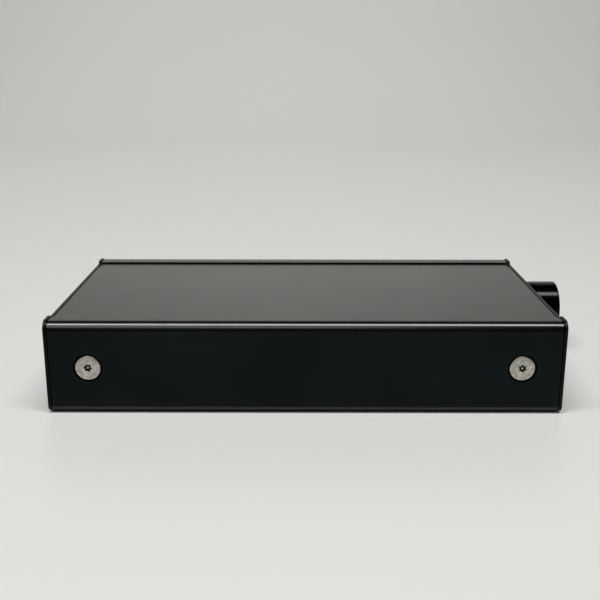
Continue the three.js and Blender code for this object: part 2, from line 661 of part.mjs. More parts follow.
function powerSwitchBody() {
  const bezelBack = -panelOuter - TOUCH;
  const bezelFace = bezelBack - 1;
  const [back, halfWidth, halfHeight] = [-71, 4.3, 6.7];
  const [pocketHalfWidth, pocketHalfHeight, pocketDepth] = [3.4, 6.2, 3.2];
  const [pinHole, pinHalfLength] = [0.9, 3.9];
  return cut(
    join(
      alongX(roundedRect(10.4, 15.2, 1), bezelFace, bezelBack),
      block(bezelBack - FIT, back, -halfWidth, halfWidth, -halfHeight, halfHeight),
    ),
    block(bezelFace - OVERSHOOT, rockerPivot + pocketDepth, -pocketHalfWidth, pocketHalfWidth,
      -pocketHalfHeight, pocketHalfHeight),
    rodY(pinHole, -pinHalfLength, pinHalfLength, rockerPivot, 0),
  );
}

// Rocker with a shallow V on its face and two stub pins, drawn level about its pivot.
function powerRocker() {
  const [halfWidth, pinRadius, pinHalfLength] = [3.1, 0.8, 3.8];
  const upperHalf = [[-2.2, 5.6], [-0.2, 5.6], [1.6, 3.4]];
  const lowerHalf = upperHalf.map(([x, z]) => [x, -z]).reverse();
  const shape = new THREE.Shape();
  shape.moveTo(-1.6, 0);
  for (const [x, z] of [...upperHalf, [2.4, 0], ...lowerHalf]) shape.lineTo(x, z);
  return join(alongY(shape, -halfWidth, halfWidth), rodY(pinRadius, -pinHalfLength, pinHalfLength, 0, 0));
}

["left", "right"].forEach((side, i) => {
  add(`rca_jack_${side}`, rcaJack(), blackPlastic).position.set(0, RCA_Y[1 - i], middle);
});
add("ethernet_jack", ethernetJack(), tinned).position.set(0, ETHERNET_Y, onBoard);
add("usb_c_socket", usbSocket(), tinned).position.set(0, USB_Y, onBoard + USB_RISE);
add("power_switch_body", powerSwitchBody(), blackPlastic).position.set(0, ROCKER_Y, middle);
const rocker = add("power_rocker", powerRocker(), blackPlastic);
rocker.position.set(rockerPivot, ROCKER_Y, middle);
rocker.rotation.y = THREE.MathUtils.degToRad(ROCKER_TILT);

// ---- whole object, centred between the knob's face and the rear sockets ---------------
player.position.x = (rcaTip - knobFace) / 2;

const group = new THREE.Group();
group.add(player);
export default group;
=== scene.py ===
import json
import math

import bmesh
import bpy
from mathutils import Matrix, Vector


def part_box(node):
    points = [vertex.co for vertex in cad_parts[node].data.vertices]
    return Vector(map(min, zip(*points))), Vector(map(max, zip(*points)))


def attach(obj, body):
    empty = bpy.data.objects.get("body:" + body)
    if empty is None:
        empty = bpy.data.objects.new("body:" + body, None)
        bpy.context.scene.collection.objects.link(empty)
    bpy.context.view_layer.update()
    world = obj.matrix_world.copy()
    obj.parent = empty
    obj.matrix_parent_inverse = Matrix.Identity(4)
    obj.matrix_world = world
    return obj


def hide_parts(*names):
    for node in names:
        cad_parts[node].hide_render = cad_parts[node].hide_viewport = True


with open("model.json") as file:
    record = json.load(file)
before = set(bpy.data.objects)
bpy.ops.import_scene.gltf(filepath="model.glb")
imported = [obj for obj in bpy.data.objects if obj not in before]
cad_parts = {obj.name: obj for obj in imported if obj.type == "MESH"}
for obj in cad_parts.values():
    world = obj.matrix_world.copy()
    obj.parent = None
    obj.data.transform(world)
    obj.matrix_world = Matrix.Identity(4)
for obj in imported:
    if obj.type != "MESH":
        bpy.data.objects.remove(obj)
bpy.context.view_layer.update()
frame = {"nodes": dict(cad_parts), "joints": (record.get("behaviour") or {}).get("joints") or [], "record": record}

MM = 0.001
CASING = "casing"

# ---------------------------------------------------------------- camera and stage

CAMERA_PLACE = Vector((-4.68, -312.82, 113.84)) * MM
CAMERA_PITCH = math.radians(15.814)  # downwards
CAMERA_YAW = math.radians(-0.065)  # towards +X
CAMERA_ROLL = math.radians(0.066)
CAMERA_LENS = 53.81
FLOOR_REACH = 1.4  # to each side
TABLE_EDGE = -0.36  # where the pale floor ends in front of the player
WALL_AT = 0.8  # where the floor curves up behind the player
WALL_RISE = 1.5
SWEEP_RADIUS = 0.5
FLOOR_COLOR = (0.8, 0.8, 0.775)
ROOM_COLOR = (0.025, 0.026, 0.025)
BACKDROP_COLOR = (0.53, 0.54, 0.5)
WHITE_LIGHT = (1, 1, 0.985)
GREENISH_LIGHT = (0.93, 1, 0.95)


def add_camera():
    data = bpy.data.cameras.new("camera")
    data.lens = CAMERA_LENS
    data.sensor_width = 36
    data.clip_start = 0.01
    camera = bpy.data.objects.new("camera", data)
    pitch, yaw = CAMERA_PITCH, CAMERA_YAW
    ahead = Vector((math.sin(yaw) * math.cos(pitch), math.cos(yaw) * math.cos(pitch), -math.sin(pitch)))
    level = Vector((math.cos(yaw), -math.sin(yaw), 0))
    lift = level.cross(ahead)
    right = math.cos(CAMERA_ROLL) * level + math.sin(CAMERA_ROLL) * lift
    up = right.cross(ahead)
    turn = Matrix((right, up, -ahead)).transposed()
    camera.matrix_world = Matrix.Translation(CAMERA_PLACE) @ turn.to_4x4()
    bpy.context.scene.collection.objects.link(camera)
    bpy.context.scene.camera = camera


def add_area_light(name, place, aim, size, power, color):
    data = bpy.data.lights.new(name, "AREA")
    data.shape = "RECTANGLE"
    data.size, data.size_y = size
    data.energy = power
    data.color = color
    light = bpy.data.objects.new(name, data)
    light.location = place
    light.rotation_euler = (Vector(aim) - Vector(place)).to_track_quat("-Z", "Y").to_euler()
    bpy.context.scene.collection.objects.link(light)


# ---------------------------------------------------------------- mesh helpers

def arc(cx, cy, radius, start, end, steps):
    """Points on a circular arc, angles in degrees, both ends included."""
    angles = [math.radians(start + (end - start) * i / steps) for i in range(steps + 1)]
    return [(cx + radius * math.cos(a), cy + radius * math.sin(a)) for a in angles]


def rounded_rect(cx, cy, width, height, radius, steps=6):
    dx, dy = width / 2 - radius, height / 2 - radius
    quarters = [(dx, dy, 0), (-dx, dy, 90), (-dx, -dy, 180), (dx, -dy, 270)]
    points = []
    for ox, oy, start in quarters:
        points += arc(cx + ox, cy + oy, radius, start, start + 90, steps)
    return points


def mesh_object(name, bm):
    bmesh.ops.remove_doubles(bm, verts=bm.verts, dist=1e-7)
    bmesh.ops.recalc_face_normals(bm, faces=bm.faces)
    mesh = bpy.data.meshes.new(name)
    bm.to_mesh(mesh)
    bm.free()
    piece = bpy.data.objects.new(name, mesh)
    bpy.context.scene.collection.objects.link(piece)
    return piece


AXIS_FRAMES = {  # where a drawing's (across, up, along) point
    "X": Matrix(((0, 0, 1), (1, 0, 0), (0, 1, 0))),
    "Y": Matrix(((1, 0, 0), (0, 0, 1), (0, 1, 0))),
    "Z": Matrix(((1, 0, 0), (0, 1, 0), (0, 0, 1))),
}


def extrude(name, outline, axis, start, end):
    """A closed outline drawn across an axis and drawn out along it."""
    turn = AXIS_FRAMES[axis]
    bm = bmesh.new()
    rings = []
    for along in (start, end):
        rings.append([bm.verts.new(turn @ Vector((u, v, along))) for u, v in outline])
    bm.faces.new(rings[0])
    bm.faces.new(rings[1])
    count = len(outline)
    for i in range(count):
        j = (i + 1) % count
        bm.faces.new((rings[0][i], rings[0][j], rings[1][j], rings[1][i]))
    return mesh_object(name, bm)


def lathe(name, profile, axis, centre, steps=64):
    """A closed profile of (along, radius) turned about an axis through centre. Ends at radius 0 close."""
    turn = AXIS_FRAMES[axis]
    bm = bmesh.new()
    rings = []
    for along, radius in profile:
        if radius < 1e-9:
            rings.append([bm.verts.new(turn @ Vector((0, 0, along)))])
            continue
        angles = [2 * math.pi * i / steps for i in range(steps)]
        rings.append([bm.verts.new(turn @ Vector((radius * math.cos(a), radius * math.sin(a), along)))
                      for a in angles])
    pairs = list(zip(rings, rings[1:]))
    if len(rings[0]) > 1:
        pairs.append((rings[-1], rings[0]))
    for low, high in pairs:
        for i in range(steps):
            j = (i + 1) % steps
            corners = [low[i % len(low)], low[j % len(low)], high[j % len(high)], high[i % len(high)]]
            distinct = list(dict.fromkeys(corners))
            if len(distinct) > 2:
                bm.faces.new(distinct)
    piece = mesh_object(name, bm)
    piece.location = centre
    return piece


def rod(name, axis, centre, start, end, radius, steps):
    """A plain cylinder along an axis through centre."""
    return lathe(name, [(start, 0), (start, radius), (end, radius), (end, 0)], axis, centre, steps)


def facing(profile, outward):
    """A profile drawn for a face that looks along its axis, turned round where outward is -1."""
    return [(outward * along, radius) for along, radius in profile]


def apply_modifiers(piece):
    bpy.context.view_layer.update()
    graph = bpy.context.evaluated_depsgraph_get()
    mesh = bpy.data.meshes.new_from_object(piece.evaluated_get(graph))
    piece.modifiers.clear()
    old = piece.data
    piece.data = mesh
    bpy.data.meshes.remove(old)
    mesh.name = piece.name


def combine(piece, others, operation):
    """Joins or cuts piece with the others, which are used up."""
    for other in others:
        step = piece.modifiers.new("combine", "BOOLEAN")
        step.operation = operation
        step.solver = "EXACT"
        step.object = other
    apply_modifiers(piece)
    for other in others:
        bpy.data.objects.remove(other)


def carve(piece, *tools):
    combine(piece, tools, "DIFFERENCE")


def weld(piece, *others):
    combine(piece, others, "UNION")


def finish_edges(piece, bevel=0.0, segments=2, sharp=35):
    """Small edge rounding, smooth curves, and flat faces that stay flat."""
    if bevel:
        step = piece.modifiers.new("edges", "BEVEL")
        step.width = bevel
        step.segments = segments
        step.limit_method = "ANGLE"
        step.angle_limit = math.radians(sharp)
    mesh = piece.data
    mesh.shade_smooth()
    mesh.set_sharp_from_angle(angle=math.radians(sharp + 20 if bevel else sharp))
    normals = piece.modifiers.new("normals", "WEIGHTED_NORMAL")
    normals.keep_sharp = True


def place(piece, body, slot, *materials):
    """Gives a piece its body and its materials: its own, or the slot's."""
    for material in materials or (MATERIALS[slot],):
        piece.data.materials.append(material)
    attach(piece, body)


def middle_of(node):
    low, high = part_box(node)
    return (low + high) / 2


def joint_place(name):
    return Vector(next(joint for joint in frame["joints"] if joint["name"] == name)["pos_m"])


# ---------------------------------------------------------------- material helpers

GLOSS_AND_PAINTED_SHEEN_ABOVE = (0.17, 0.45)  # the normal's height where the upper gloss and painted sheen start, and where they are full
GLOSS_AND_PAINTED_SHEEN_BELOW = (-0.02, -0.3)  # the same for the lower gloss and painted sheen
LOWER_GLOSS_AND_PAINTED_SHEEN = 0.45  # strength of the lower gloss and painted sheen beside the upper ones
RING_SPACING = 0.00035
MOULD_GRAIN = 0.00025
MOULD_RELIEF = 0.000012


class Nodes:
    """A material's node tree, with short calls for the nodes used here."""

    def __init__(self, name, color, metallic=0.0, roughness=0.5, **sockets):
        self.material = bpy.data.materials.new(name)
        self.material.use_nodes = True
        self.tree = self.material.node_tree
        self.shader = self.tree.nodes["Principled BSDF"]
        self.shader.inputs["Base Color"].default_value = (*color, 1)
        self.shader.inputs["Metallic"].default_value = metallic
        self.shader.inputs["Roughness"].default_value = roughness
        for socket, value in sockets.items():
            self.shader.inputs[socket.replace("_", " ")].default_value = value
        self.place = self.add("ShaderNodeTexCoord").outputs["Object"]

    def add(self, kind, **settings):
        node = self.tree.nodes.new(kind)
        for key, value in settings.items():
            setattr(node, key, value)
        return node

    def link(self, source, target):
        self.tree.links.new(source, target)
        return target

    def stretched(self, scale):
        """Object coordinates multiplied by three factors."""
        node = self.add("ShaderNodeMapping")
        node.inputs["Scale"].default_value = scale
        self.link(self.place, node.inputs["Vector"])
        return node.outputs["Vector"]

    def noise(self, size, detail=2.0, stretch=(1, 1, 1)):
        """Noise whose features are about size across, in metres."""
        node = self.add("ShaderNodeTexNoise")
        node.inputs["Scale"].default_value = 1 / size
        node.inputs["Detail"].default_value = detail
        self.link(self.stretched(stretch), node.inputs["Vector"])
        return node.outputs["Fac"]

    def cells(self, size):
        node = self.add("ShaderNodeTexVoronoi", feature="SMOOTH_F1")
        node.inputs["Scale"].default_value = 1 / size
        self.link(self.place, node.inputs["Vector"])
        return node.outputs["Distance"]

    def rings(self, spacing, direction, distortion=0.6):
        """Turning marks around the object's own origin."""
        node = self.add("ShaderNodeTexWave", wave_type="RINGS", rings_direction=direction)
        node.inputs["Scale"].default_value = 1 / (spacing * 20)
        node.inputs["Distortion"].default_value = distortion
        node.inputs["Detail"].default_value = 2
        node.inputs["Detail Scale"].default_value = 1.5
        self.link(self.place, node.inputs["Vector"])
        return node.outputs["Fac"]

    def remap(self, value, low, high, from_low=0.0, from_high=1.0):
        node = self.add("ShaderNodeMapRange")
        limits = {"From Min": from_low, "From Max": from_high, "To Min": low, "To Max": high}
        for socket, number in limits.items():
            node.inputs[socket].default_value = number
        self.link(value, node.inputs["Value"])
        return node.outputs["Result"]

    def mix(self, factor, first, second):
        """A colour between two colours or colour outputs."""
        node = self.add("ShaderNodeMix", data_type="RGBA")
        self.link(factor, node.inputs["Factor"])
        for socket, value in ((node.inputs[6], first), (node.inputs[7], second)):
            if isinstance(value, tuple):
                socket.default_value = (*value, 1)
            else:
                self.link(value, socket)
        return node.outputs[2]

    def painted_sheen_and_gloss_mask(self):
        """Mask for the gloss and the painted sheen: 0 where the surface stands upright, 1 where it turns up, and
        the lower strength set above where it turns down.
        """
        parts = self.add("ShaderNodeSeparateXYZ")
        self.link(self.add("ShaderNodeTexCoord").outputs["Normal"], parts.inputs["Vector"])
        up = self.remap(parts.outputs["Z"], 0, 1, *GLOSS_AND_PAINTED_SHEEN_ABOVE)
        down = self.remap(parts.outputs["Z"], 0, LOWER_GLOSS_AND_PAINTED_SHEEN, *GLOSS_AND_PAINTED_SHEEN_BELOW)
        return self.plus(up, down)

    def plus(self, first, second):
        node = self.add("ShaderNodeMath", operation="ADD")
        self.link(first, node.inputs[0])
        self.link(second, node.inputs[1])
        return node.outputs[0]

    def set_color(self, value):
        self.link(value, self.shader.inputs["Base Color"])

    def set_roughness(self, value):
        self.link(value, self.shader.inputs["Roughness"])

    def bump(self, height, depth):
        """Surface relief of about depth, in metres."""
        node = self.add("ShaderNodeBump")
        node.inputs["Strength"].default_value = 1
        node.inputs["Distance"].default_value = depth
        self.link(height, node.inputs["Height"])
        self.link(node.outputs["Normal"], self.shader.inputs["Normal"])


def scaled(color, factor):
    return tuple(channel * factor for channel in color)


def anodised(name, color, painted_sheen_color, roughness, edge_roughness, relief=0.000004):
    """Blasted, black anodised aluminium, glossier where it faces up or down, and painted lighter there: a painted
    sheen.
    """
    nodes = Nodes(name, color, metallic=1.0, roughness=roughness)
    cloud = nodes.noise(0.03, detail=3)
    fine = nodes.noise(0.00018, detail=2)
    flat = nodes.mix(nodes.remap(cloud, 0, 1, 0.3, 0.7), scaled(color, 0.85), scaled(color, 1.15))
    painted_sheen_and_gloss_mask = nodes.painted_sheen_and_gloss_mask()
    # Painted sheen: the colour turns lighter where the surface faces up or down.
    nodes.set_color(nodes.mix(painted_sheen_and_gloss_mask, flat, painted_sheen_color))
    base = nodes.remap(painted_sheen_and_gloss_mask, roughness, edge_roughness)
    nodes.set_roughness(nodes.plus(base, nodes.remap(cloud, -0.02, 0.02, 0.3, 0.7)))
    nodes.bump(fine, relief)
    return nodes.material


def turned_metal(name, color, roughness, direction, relief=0.000006):
    """Turned metal with rings about the piece's own axis and some dull patches."""
    nodes = Nodes(name, color, metallic=1.0, roughness=roughness)
    rings = nodes.rings(RING_SPACING, direction, distortion=1.5)
    patches = nodes.noise(0.0016, detail=4)
    patched = nodes.mix(nodes.remap(patches, 0, 1, 0.35, 0.65), scaled(color, 0.72), scaled(color, 1.12))
    nodes.set_color(nodes.mix(nodes.remap(rings, 0.0, 0.35), patched, scaled(color, 0.6)))
    nodes.set_roughness(nodes.remap(patches, roughness + 0.1, roughness - 0.06, 0.35, 0.65))
    nodes.bump(rings, relief)
    return nodes.material


def plated(name, color, roughness):
    """Plated or drawn metal with slight wear and lengthwise marks."""
    nodes = Nodes(name, color, metallic=1.0, roughness=roughness)
    wear = nodes.noise(0.0012, detail=4)
    worn = nodes.remap(wear, 0, 1, 0.35, 0.65)
    nodes.set_color(nodes.mix(worn, scaled(color, 0.85), scaled(color, 1.08)))
    nodes.set_roughness(nodes.remap(wear, roughness + 0.08, roughness - 0.04, 0.35, 0.65))
    nodes.bump(nodes.noise(0.0002, detail=2, stretch=(1, 0.2, 1)), 0.0000015)
    return nodes.material


def moulded(name, color, roughness):
    """Moulded plastic with a fine spark-eroded texture."""
    nodes = Nodes(name, color, roughness=roughness)
    mottle = nodes.noise(0.004, detail=2)
    nodes.set_color(nodes.mix(mottle, scaled(color, 0.9), scaled(color, 1.1)))
    nodes.set_roughness(nodes.remap(mottle, roughness - 0.04, roughness + 0.04, 0.3, 0.7))
    nodes.bump(nodes.cells(MOULD_GRAIN), MOULD_RELIEF)
    return nodes.material


def polished(name, color, roughness, **sockets):
    """Clear or smoked acrylic and lacquer: smooth, with faint wiping marks."""
    nodes = Nodes(name, color, roughness=roughness, **sockets)
    marks = nodes.noise(0.006, detail=4, stretch=(1, 0.35, 1))
    nodes.set_color(nodes.mix(marks, scaled(color, 0.9), scaled(color, 1.1)))
    nodes.set_roughness(nodes.remap(marks, roughness, roughness + 0.06, 0.4, 0.7))
    return nodes.material


def rubber(name, color):
    """Dark rubber with some dust on it."""
    nodes = Nodes(name, color, roughness=0.85)
    dust = nodes.noise(0.0006, detail=4)
    nodes.set_color(nodes.mix(nodes.remap(dust, 0, 1, 0.5, 0.8), color, scaled(color, 2.2)))
    nodes.bump(nodes.noise(0.0002, detail=3), 0.00001)
    return nodes.material


def circuit_board(name, color):
    """Green solder mask over copper tracks that run along and across the board."""
    nodes = Nodes(name, color, roughness=0.35)
    tracks = nodes.add("ShaderNodeTexBrick", offset=0.5)
    tracks.inputs["Scale"].default_value = 1 / 0.004
    tracks.inputs["Mortar Size"].default_value = 0.03
    tracks.inputs["Color1"].default_value = (*color, 1)
    tracks.inputs["Color2"].default_value = (*scaled(color, 1.25), 1)
    tracks.inputs["Mortar"].default_value = (*scaled(color, 2.2), 1)
    nodes.link(nodes.place, tracks.inputs["Vector"])
    nodes.set_color(tracks.outputs["Color"])
    nodes.bump(tracks.outputs["Fac"], 0.00004)
    return nodes.material


BLACK = (0.0105, 0.0142, 0.0154)
# Lighter blacks for where a surface faces up or down: painted sheen.
PAINTED_SHEEN_BLACK = (0.066, 0.067, 0.065)
PANEL_PAINTED_SHEEN_BLACK = (0.02, 0.0215, 0.022)
KNOB_BLACK = (0.015, 0.0155, 0.0155)
NICKEL = (0.56, 0.54, 0.475)
MATERIALS = {
    "black_anodised": anodised("black_anodised", BLACK, PAINTED_SHEEN_BLACK, 0.36, 0.22),
    "knob_black": anodised("knob_black", KNOB_BLACK, KNOB_BLACK, 0.13, 0.13, relief=0.0000005),
    "button_black": anodised("button_black", KNOB_BLACK, KNOB_BLACK, 0.28, 0.28, relief=0.000002),
    "screw_steel": turned_metal("screw_steel", NICKEL, 0.3, "Y"),
    "black_steel": turned_metal("black_steel", (0.03, 0.03, 0.031), 0.35, "X", relief=0.000003),
    "nut_nickel": turned_metal("nut_nickel", (0.62, 0.6, 0.56), 0.25, "X", relief=0.000004),
    "foot_rubber": rubber("foot_rubber", (0.013, 0.013, 0.013)),
    "bare_aluminium": plated("bare_aluminium", (0.6, 0.61, 0.62), 0.38),
    "tinned_steel": plated("tinned_steel", (0.62, 0.62, 0.61), 0.28),
    "socket_nickel": plated("socket_nickel", (0.66, 0.64, 0.6), 0.2),
    "shaft_brass": plated("shaft_brass", (0.62, 0.47, 0.2), 0.3),
    "circuit_board": circuit_board("circuit_board", (0.01, 0.065, 0.03)),
    "chip_black": moulded("chip_black", (0.02, 0.02, 0.022), 0.5),
    "black_plastic": moulded("black_plastic", (0.018, 0.018, 0.02), 0.45),
    "ribbon_white": moulded("ribbon_white", (0.7, 0.7, 0.68), 0.5),
    "smoked_window": polished("smoked_window", (0.006, 0.007, 0.009), 0.06,
                              Coat_Weight=1.0, Coat_Roughness=0.03),
    "light_pipe": polished("light_pipe", (0.72, 0.76, 0.78), 0.25, Transmission_Weight=0.3),
}
CORE_WHITE = moulded("core_white", (0.75, 0.74, 0.7), 0.4)
CORE_RED = moulded("core_red", (0.45, 0.015, 0.012), 0.4)
GOLD = plated("gold", (0.85, 0.62, 0.25), 0.22)
LAMP_GREEN = polished("lamp_green", (0.02, 0.22, 0.05), 0.2)
LAMP_AMBER = polished("lamp_amber", (0.4, 0.16, 0.01), 0.2)
MARK_WHITE = moulded("mark_white", (0.7, 0.7, 0.68), 0.5)
# The panels' colour turns lighter where they face up or down: painted sheen.
PANEL_BLACK = anodised("panel_black", BLACK, PANEL_PAINTED_SHEEN_BLACK, 0.4, 0.4)
# Darker black for the screw counterbores in the rails: painted shade in the recesses.
BORE_PAINTED_SHADE = anodised("bore_painted_shade", scaled(BLACK, 0.4), scaled(BLACK, 0.4), 0.5, 0.5)
# Near-black for the star drive sockets in the side screws: painted shade in the recesses.
SOCKET_PAINTED_SHADE = turned_metal("socket_painted_shade", (0.016, 0.015, 0.014), 0.45, "Y")


# ---------------------------------------------------------------- casing

RAIL_ROUND = 3.0 * MM
RAIL_LOWER_ROUND = 2.2 * MM
RAIL_INNER_ROUND = 0.5 * MM
GROOVE = 1.7 * MM
GROOVE_SLACK = 0.1 * MM
COUNTERBORE = (4.6 * MM, 1.7 * MM)  # radius and depth
MOUTH_CHAMFER = 0.03 * MM
SHANK_HOLE = 2.3 * MM
PANEL_THICK = 1.0 * MM
SEAM = 0.3 * MM  # between a panel and the rails
PANEL_STEP_ROUND = 0.5 * MM
PANEL_EDGE = 0.2 * MM
PANEL_CUT = 3.0 * MM  # how far a panel's cutting shapes reach to each side of its face
PANEL_GAP = 0.3 * MM  # between a panel's opening and what fills it
PLATE_THICK = 2.0 * MM
OVERSHOOT = 1.0 * MM  # how far other cutting shapes start outside the surface
KEYS = ("previous", "play", "next")
CORNERS = ("front_far", "rear_far", "rear_near", "front_near")
SOCKET_TURN = {"front_far": 10, "rear_far": 38, "rear_near": 8, "front_near": 20}  # degrees
MID_Z = middle_of("side_rail_near").z


def side_rail(side, outward):
    """Extruded rail: rounded outer edges, grooves for both plates, two screw counterbores."""
    node = f"side_rail_{side}"
    low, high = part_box(node)
    face = high.y if outward > 0 else low.y
    thick = high.y - low.y
    top_low, top_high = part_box("top_plate")
    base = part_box("bottom_plate")[0].z
    grooves = ((top_high.z, top_low.z), (base + (top_high.z - top_low.z), base))
    big, under, small = RAIL_ROUND, RAIL_LOWER_ROUND, RAIL_INNER_ROUND
    outline = arc(big, high.z - big, big, 180, 90, 14)
    outline += arc(thick - small, high.z - small, small, 90, 0, 7)
    for upper, lower in grooves:
        outline += [(thick, upper + GROOVE_SLACK), (thick - GROOVE, upper + GROOVE_SLACK)]
        outline += [(thick - GROOVE, lower - GROOVE_SLACK), (thick, lower - GROOVE_SLACK)]
    outline += arc(thick - small, low.z + small, small, 0, -90, 7)
    outline += arc(under, low.z + under, under, 270, 180, 14)
    outline = [(face - outward * u, z) for u, z in outline]
    rail = extrude(node + "_shell", outline, "X", low.x, high.x)
    radius, depth = COUNTERBORE
    mouth = radius + MOUTH_CHAMFER
    profile = [(OVERSHOOT, 0), (OVERSHOOT, mouth), (0, mouth), (-MOUTH_CHAMFER, radius)]
    profile += [(-depth, radius), (-depth, SHANK_HOLE), (-2 * thick, SHANK_HOLE), (-2 * thick, 0)]
    screws = [middle_of(f"side_screw_{end}_{side}") for end in ("front", "rear")]
    carve(rail, *[lathe("bore", facing(profile, outward), "Y", (screw.x, face, screw.z), 96)
                  for screw in screws])
    finish_edges(rail, sharp=28)
    # The counterbores' inner faces take the darker black: painted shade.
    for polygon in rail.data.polygons:
        at = polygon.center
        reach = min(math.hypot(at.x - screw.x, at.z - screw.z) for screw in screws)
        if reach < mouth and abs(at.y - face) > 0.001 * MM:
            polygon.material_index = 1
    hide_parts(node)
    place(rail, CASING, "black_anodised", MATERIALS["black_anodised"], BORE_PAINTED_SHADE)


def flat_plate(node):
    """Sheet with softened edges, in the grooves of both rails."""
    low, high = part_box(node)
    top = high.z if node == "top_plate" else low.z + PLATE_THICK
    outline = [(low.x, low.y), (high.x, low.y), (high.x, high.y), (low.x, high.y)]
    plate = extrude(node + "_sheet", outline, "Z", top - PLATE_THICK, top)
    finish_edges(plate, bevel=0.1 * MM)
    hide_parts(node)
    place(plate, CASING, "black_anodised")


def board_posts():
    """Hexagonal tapped posts pressed into the bottom plate."""
    low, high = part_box("bottom_plate")
    start = low.z + PLATE_THICK
    for i in range(1, 5):
        centre = middle_of(f"board_screw_{i}")
        corners = arc(centre.x, centre.y, 2.8 * MM, 0, 300, 5)
        post = extrude(f"board_post_{i}", corners, "Z", start, high.z)
        carve(post, rod("hole", "Z", (centre.x, centre.y, start + 0.2 * MM), 0, 4 * MM, 1.7 * MM, 32))
        finish_edges(post, bevel=0.1 * MM)
        place(post, CASING, "shaft_brass")


def panel_outline(node):
    """Rounded corners over the rails, and a dip to the top plate between them."""
    low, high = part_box(node)
    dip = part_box("top_plate")[1].z
    step = abs(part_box("side_rail_near")[1].y) - 0.6 * MM
    big, under, small = RAIL_ROUND, RAIL_LOWER_ROUND, PANEL_STEP_ROUND
    half = high.y
    points = arc(half - under, low.z + under, under, -90, 0, 9)
    points += arc(half - big, high.z - big, big, 0, 90, 9)
    points += arc(step + small, high.z - small, small, 90, 180, 4)
    points += arc(step - small, dip + small, small, 0, -90, 4)
    points += arc(-step + small, dip + small, small, 270, 180, 4)
    points += arc(-step - small, high.z - small, small, 0, 90, 4)
    points += arc(-half + big, high.z - big, big, 90, 180, 9)
    points += arc(-half + under, low.z + under, under, 180, 270, 9)
    return points


def round_hole(radius, y, z, x0, x1):
    return rod("hole", "X", (0, y, z), x0, x1, radius, 64)


def end_panel(node, end, outward, holes):
    """End panel with its countersinks and the openings in holes, softened along every edge."""
    low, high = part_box(node)
    face = high.x if outward > 0 else low.x
    inside = face - outward * PANEL_THICK
    panel = extrude(node + "_sheet", panel_outline(node), "X", min(face, inside), max(face, inside))
    wide, narrow, depth, through = 3 * MM, 1.8 * MM, 1.2 * MM, 2 * MM
    sink = [(OVERSHOOT, 0), (OVERSHOOT, wide), (0, wide)]
    sink += [(-depth, narrow), (-through, narrow), (-through, 0)]
    tools = []
    for side in ("far", "near"):
        for level in ("lower", "upper"):
            screw = middle_of(f"panel_screw_{end}_{side}_{level}")
            tools.append(lathe("sink", facing(sink, outward), "X", (face, screw.y, screw.z), 48))
    tools += [make(face - PANEL_CUT, face + PANEL_CUT) for make in holes]
    carve(panel, *tools)
    finish_edges(panel, bevel=PANEL_EDGE, segments=3, sharp=40)
    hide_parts(node)
    place(panel, CASING, "black_anodised", PANEL_BLACK)


def front_panel():
    """Openings for the knob's nut, the headphone socket, the light, the window and the buttons."""
    knob, jack = middle_of("volume_knob"), middle_of("headphone_nut")
    light = middle_of("status_light")
    window_low, window_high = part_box("display_window")
    window = (window_low + window_high) / 2
    size = window_high - window_low
    gap = 2 * PANEL_GAP
    frame_outline = rounded_rect(window.y, window.z, size.y + gap, size.z + gap, 1.2 * MM)
    holes = [
        lambda x0, x1: round_hole(3.8 * MM, knob.y, knob.z, x0, x1),
        lambda x0, x1: round_hole(4.8 * MM, jack.y, jack.z, x0, x1),
        lambda x0, x1: round_hole(1.8 * MM, light.y, light.z, x0, x1),
        lambda x0, x1: extrude("hole", frame_outline, "X", x0, x1),
    ]
    for name in KEYS:
        key = middle_of(f"{name}_button")
        holes.append(lambda x0, x1, key=key: round_hole(2.55 * MM, key.y, key.z, x0, x1))
    end_panel("front_panel", "front", 1, holes)


def rear_panel():
    """Openings for the audio sockets, the network and power sockets and the switch."""
    gap = 2 * PANEL_GAP
    holes = []
    for side in ("left", "right"):
        low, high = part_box(f"rca_jack_{side}")
        holes.append(lambda x0, x1, y=(low.y + high.y) / 2: round_hole(4.45 * MM, y, MID_Z, x0, x1))
    low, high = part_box("ethernet_jack")
    net = rounded_rect((low.y + high.y) / 2, (low.z + high.z) / 2,
                       high.y - low.y + gap, high.z - low.z + gap, 0.2 * MM, 2)
    low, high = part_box("usb_c_socket")
    usb = rounded_rect((low.y + high.y) / 2, (low.z + high.z) / 2,
                       high.y - low.y + gap, high.z - low.z + gap, 1.9 * MM)
    switch = middle_of("power_switch_body")
    rocker_cut = rounded_rect(switch.y, switch.z, 9.2 * MM, 14 * MM, 0.2 * MM, 2)
    for outline in (net, usb, rocker_cut):
        holes.append(lambda x0, x1, outline=outline: extrude("hole", outline, "X", x0, x1))
    end_panel("rear_panel", "rear", -1, holes)


def lobed_outline(radius, ripple):
    """Six soft lobes around a circle, the outline of a star drive."""
    steps = 96
    points = []
    for i in range(steps):
        angle = 2 * math.pi * i / steps
        reach = radius + ripple * math.cos(6 * angle)
        points.append((reach * math.cos(angle), reach * math.sin(angle)))
    return points


